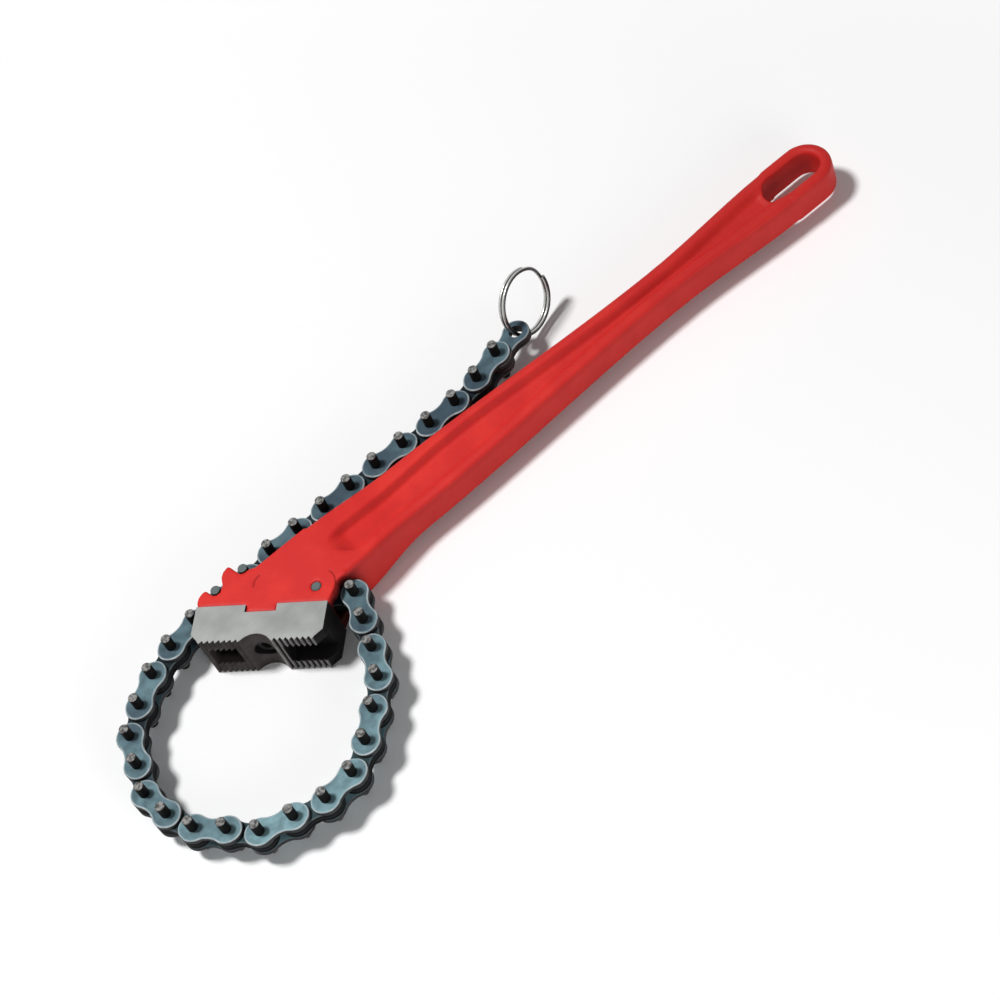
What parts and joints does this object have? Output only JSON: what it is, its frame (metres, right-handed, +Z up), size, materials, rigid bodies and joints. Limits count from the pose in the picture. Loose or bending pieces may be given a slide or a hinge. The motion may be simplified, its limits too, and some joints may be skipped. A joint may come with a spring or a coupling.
{
  "type": "chain pipe wrench",
  "caption": "Chain pipe wrench with a forged red handle, a hanging eye, a toothed screwed-on jaw, and a flat-link chain whose long pins hook into the fork head; split ring on the chain's end.",
  "frame": {"origin": "on the handle's centre line, on the head's underside, level with the anchor pin", "axes": "+X along the handle from the head to the eye, +Y to the side of the hooks, +Z up from the side the wrench lies on"},
  "size_m": [0.4442, 0.1561, 0.0346],
  "materials": {
    "red_enamel": "gloss enamel",
    "jaw_steel": "hardened, ground top",
    "chain_steel": "blued, satin",
    "pin_steel": "bright, satin",
    "dark_screw": "black oxide",
    "ring_plate": "plated wire"
  },
  "bodies": {
    "wrench": {"handle": "red_enamel", "jaw": "jaw_steel", "jaw_screw": "dark_screw", "anchor_pin": "pin_steel"},
    "inner_01": {"inner_link_01": "chain_steel"},
    "outer_01": {"outer_plates_01": "chain_steel", "link_pins_01": "pin_steel"},
    "inner_02": {"inner_link_02": "chain_steel"},
    "outer_02": {"outer_plates_02": "chain_steel", "link_pins_02": "pin_steel"},
    "inner_03": {"inner_link_03": "chain_steel"},
    "outer_03": {"outer_plates_03": "chain_steel", "link_pins_03": "pin_steel"},
    "inner_04": {"inner_link_04": "chain_steel"},
    "outer_04": {"outer_plates_04": "chain_steel", "link_pins_04": "pin_steel"},
    "inner_05": {"inner_link_05": "chain_steel"},
    "outer_05": {"outer_plates_05": "chain_steel", "link_pins_05": "pin_steel"},
    "inner_06": {"inner_link_06": "chain_steel"},
    "outer_06": {"outer_plates_06": "chain_steel", "link_pins_06": "pin_steel"},
    "inner_07": {"inner_link_07": "chain_steel"},
    "outer_07": {"outer_plates_07": "chain_steel", "link_pins_07": "pin_steel"},
    "inner_08": {"inner_link_08": "chain_steel"},
    "outer_08": {"outer_plates_08": "chain_steel", "link_pins_08": "pin_steel"},
    "inner_09": {"inner_link_09": "chain_steel"},
    "outer_09": {"outer_plates_09": "chain_steel", "link_pins_09": "pin_steel"},
    "inner_10": {"inner_link_10": "chain_steel"},
    "outer_10": {"outer_plates_10": "chain_steel", "link_pins_10": "pin_steel"},
    "inner_11": {"inner_link_11": "chain_steel"},
    "outer_11": {"outer_plates_11": "chain_steel", "link_pins_11": "pin_steel"},
    "inner_12": {"inner_link_12": "chain_steel"},
    "outer_12": {"outer_plates_12": "chain_steel", "link_pins_12": "pin_steel"},
    "inner_13": {"inner_link_13": "chain_steel"},
    "outer_13": {"outer_plates_13": "chain_steel", "link_pins_13": "pin_steel"},
    "inner_14": {"inner_link_14": "chain_steel"},
    "outer_14": {"outer_plates_14": "chain_steel", "link_pins_14": "pin_steel"},
    "inner_15": {"inner_link_15": "chain_steel"},
    "outer_15": {"outer_plates_15": "chain_steel", "link_pins_15": "pin_steel"},
    "inner_16": {"inner_link_16": "chain_steel"},
    "outer_16": {"outer_plates_16": "chain_steel", "link_pins_16": "pin_steel"},
    "inner_17": {"inner_link_17": "chain_steel"},
    "ring": {"split_ring": "ring_plate"}
  },
  "joints": [
    {"name": "anchor_pivot", "type": "hinge", "parent": "wrench", "child": "inner_01", "pos_m": [0, -0.0151, 0.0125], "axis": [0, 0, 1], "range_deg": [-3.68, 0]},
    {"name": "pin_01_pivot", "type": "hinge", "parent": "inner_01", "child": "outer_01", "pos_m": [0.01142, -0.02613, 0.0125], "axis": [0, 0, 1], "range_deg": [-4.94, 0]},
    {"name": "pin_02_pivot", "type": "hinge", "parent": "outer_01", "child": "inner_02", "pos_m": [0.00602, -0.04106, 0.0125], "axis": [0, 0, 1], "range_deg": [-4.92, 0]},
    {"name": "pin_03_pivot", "type": "hinge", "parent": "inner_02", "child": "outer_02", "pos_m": [0.00037, -0.05589, 0.0125], "axis": [0, 0, 1], "range_deg": [-4.08, 0.5]},
    {"name": "pin_04_pivot", "type": "hinge", "parent": "outer_02", "child": "inner_03", "pos_m": [-0.00631, -0.07029, 0.0125], "axis": [0, 0, 1], "range_deg": [-3.18, 0.5]},
    {"name": "pin_05_pivot", "type": "hinge", "parent": "inner_03", "child": "outer_03", "pos_m": [-0.01733, -0.08172, 0.0125], "axis": [0, 0, 1], "range_deg": [-3.89, 0.5]},
    {"name": "pin_06_pivot", "type": "hinge", "parent": "outer_03", "child": "inner_04", "pos_m": [-0.02911, -0.09236, 0.0125], "axis": [0, 0, 1], "range_deg": [-2.16, 0.5]},
    {"name": "pin_07_pivot", "type": "hinge", "parent": "inner_04", "child": "outer_04", "pos_m": [-0.04257, -0.10078, 0.0125], "axis": [0, 0, 1], "range_deg": [-1.7, 0.5]},
    {"name": "pin_08_pivot", "type": "hinge", "parent": "outer_04", "child": "inner_05", "pos_m": [-0.05836, -0.10243, 0.0125], "axis": [0, 0, 1], "range_deg": [-0.5, 1.7]},
    {"name": "pin_09_pivot", "type": "hinge", "parent": "inner_05", "child": "outer_05", "pos_m": [-0.07376, -0.09857, 0.0125], "axis": [0, 0, 1], "range_deg": [-0.5, 1.7]},
    {"name": "pin_10_pivot", "type": "hinge", "parent": "outer_05", "child": "inner_06", "pos_m": [-0.08885, -0.09363, 0.0125], "axis": [0, 0, 1], "range_deg": [-0.5, 3.31]},
    {"name": "pin_11_pivot", "type": "hinge", "parent": "inner_06", "child": "outer_06", "pos_m": [-0.09923, -0.08162, 0.0125], "axis": [0, 0, 1], "range_deg": [-0.5, 2.85]},
    {"name": "pin_12_pivot", "type": "hinge", "parent": "outer_06", "child": "inner_07", "pos_m": [-0.10981, -0.06979, 0.0125], "axis": [0, 0, 1], "range_deg": [-0.5, 3.74]},
    {"name": "pin_13_pivot", "type": "hinge", "parent": "inner_07", "child": "outer_07", "pos_m": [-0.11519, -0.05486, 0.0125], "axis": [0, 0, 1], "range_deg": [-0.5, 3.79]},
    {"name": "pin_14_pivot", "type": "hinge", "parent": "outer_07", "child": "inner_08", "pos_m": [-0.11705, -0.03909, 0.0125], "axis": [0, 0, 1], "range_deg": [-0.5, 4.21]},
    {"name": "pin_15_pivot", "type": "hinge", "parent": "inner_08", "child": "outer_08", "pos_m": [-0.1118, -0.02411, 0.0125], "axis": [0, 0, 1], "range_deg": [-0.5, 3.73]},
    {"name": "pin_16_pivot", "type": "hinge", "parent": "outer_08", "child": "inner_09", "pos_m": [-0.10654, -0.00913, 0.0125], "axis": [0, 0, 1], "range_deg": [-0.5, 2.02]},
    {"name": "pin_17_pivot", "type": "hinge", "parent": "inner_09", "child": "outer_09", "pos_m": [-0.09467, 0.00141, 0.0125], "axis": [0, 0, 1], "range_deg": [-0.5, 2.75]},
    {"name": "pin_18_pivot", "type": "hinge", "parent": "outer_09", "child": "inner_10", "pos_m": [-0.08145, 0.01019, 0.0125], "axis": [0, 0, 1], "range_deg": [-0.5, 1.76]},
    {"name": "pin_19_pivot", "type": "hinge", "parent": "inner_10", "child": "outer_10", "pos_m": [-0.06668, 0.01603, 0.0125], "axis": [0, 0, 1], "range_deg": [-0.5, 1.7]},
    {"name": "pin_20_pivot", "type": "hinge", "parent": "outer_10", "child": "inner_11", "pos_m": [-0.05103, 0.01865, 0.0125], "axis": [0, 0, 1], "range_deg": [-1.7, 0.5]},
    {"name": "pin_21_pivot", "type": "hinge", "parent": "inner_11", "child": "outer_11", "pos_m": [-0.0352, 0.0199, 0.0125], "axis": [0, 0, 1], "range_deg": [0, 22]},
    {"name": "pin_22_pivot", "type": "hinge", "parent": "outer_11", "child": "inner_12", "pos_m": [-0.01932, 0.0199, 0.0125], "axis": [0, 0, 1], "range_deg": [0, 22]},
    {"name": "pin_23_pivot", "type": "hinge", "parent": "inner_12", "child": "outer_12", "pos_m": [-0.00368, 0.0226, 0.0125], "axis": [0, 0, 1], "range_deg": [0, 22]},
    {"name": "pin_24_pivot", "type": "hinge", "parent": "outer_12", "child": "inner_13", "pos_m": [0.01219, 0.0226, 0.0125], "axis": [0, 0, 1], "range_deg": [0, 22]},
    {"name": "pin_25_pivot", "type": "hinge", "parent": "inner_13", "child": "outer_13", "pos_m": [0.02807, 0.0226, 0.0125], "axis": [0, 0, 1], "range_deg": [0, 22]},
    {"name": "pin_26_pivot", "type": "hinge", "parent": "outer_13", "child": "inner_14", "pos_m": [0.04393, 0.02315, 0.0125], "axis": [0, 0, 1], "range_deg": [0, 22]},
    {"name": "pin_27_pivot", "type": "hinge", "parent": "inner_14", "child": "outer_14", "pos_m": [0.0598, 0.02371, 0.0125], "axis": [0, 0, 1], "range_deg": [0, 22]},
    {"name": "pin_28_pivot", "type": "hinge", "parent": "outer_14", "child": "inner_15", "pos_m": [0.07566, 0.02315, 0.0125], "axis": [0, 0, 1], "range_deg": [0, 22]},
    {"name": "pin_29_pivot", "type": "hinge", "parent": "inner_15", "child": "outer_15", "pos_m": [0.09153, 0.0226, 0.0125], "axis": [0, 0, 1], "range_deg": [0, 22]},
    {"name": "pin_30_pivot", "type": "hinge", "parent": "outer_15", "child": "inner_16", "pos_m": [0.1074, 0.02315, 0.0125], "axis": [0, 0, 1], "range_deg": [-5, 22]},
    {"name": "pin_31_pivot", "type": "hinge", "parent": "inner_16", "child": "outer_16", "pos_m": [0.12298, 0.02618, 0.0125], "axis": [0, 0, 1], "range_deg": [-5, 22]},
    {"name": "pin_32_pivot", "type": "hinge", "parent": "outer_16", "child": "inner_17", "pos_m": [0.13816, 0.03082, 0.0125], "axis": [0, 0, 1], "range_deg": [-5, 22]},
    {"name": "ring_swivel", "type": "hinge", "parent": "inner_17", "child": "ring", "pos_m": [0.15326, 0.03573, 0.0125], "axis": [0, 0, 1], "range_deg": [-15, 70]}
  ],
  "couplings": [
    {"joint": "pin_03_pivot", "follows": "anchor_pivot", "ratio": 0.9738},
    {"joint": "pin_04_pivot", "follows": "pin_01_pivot", "ratio": 0.5425},
    {"joint": "pin_05_pivot", "follows": "pin_02_pivot", "ratio": 0.6892},
    {"joint": "pin_06_pivot", "follows": "anchor_pivot", "ratio": 0.4518},
    {"joint": "pin_07_pivot", "follows": "pin_01_pivot", "ratio": 0.2428},
    {"joint": "pin_08_pivot", "follows": "pin_02_pivot", "ratio": -0.2441},
    {"joint": "pin_09_pivot", "follows": "anchor_pivot", "ratio": -0.3265},
    {"joint": "pin_10_pivot", "follows": "pin_01_pivot", "ratio": -0.5692},
    {"joint": "pin_11_pivot", "follows": "pin_02_pivot", "ratio": -0.4776},
    {"joint": "pin_12_pivot", "follows": "anchor_pivot", "ratio": -0.88},
    {"joint": "pin_13_pivot", "follows": "pin_01_pivot", "ratio": -0.6657},
    {"joint": "pin_14_pivot", "follows": "pin_02_pivot", "ratio": -0.7543},
    {"joint": "pin_15_pivot", "follows": "anchor_pivot", "ratio": -0.877},
    {"joint": "pin_16_pivot", "follows": "pin_01_pivot", "ratio": -0.3076},
    {"joint": "pin_17_pivot", "follows": "pin_02_pivot", "ratio": -0.4573},
    {"joint": "pin_18_pivot", "follows": "anchor_pivot", "ratio": -0.3422},
    {"joint": "pin_19_pivot", "follows": "pin_01_pivot", "ratio": -0.2428},
    {"joint": "pin_20_pivot", "follows": "pin_02_pivot", "ratio": 0.2441}
  ]
}
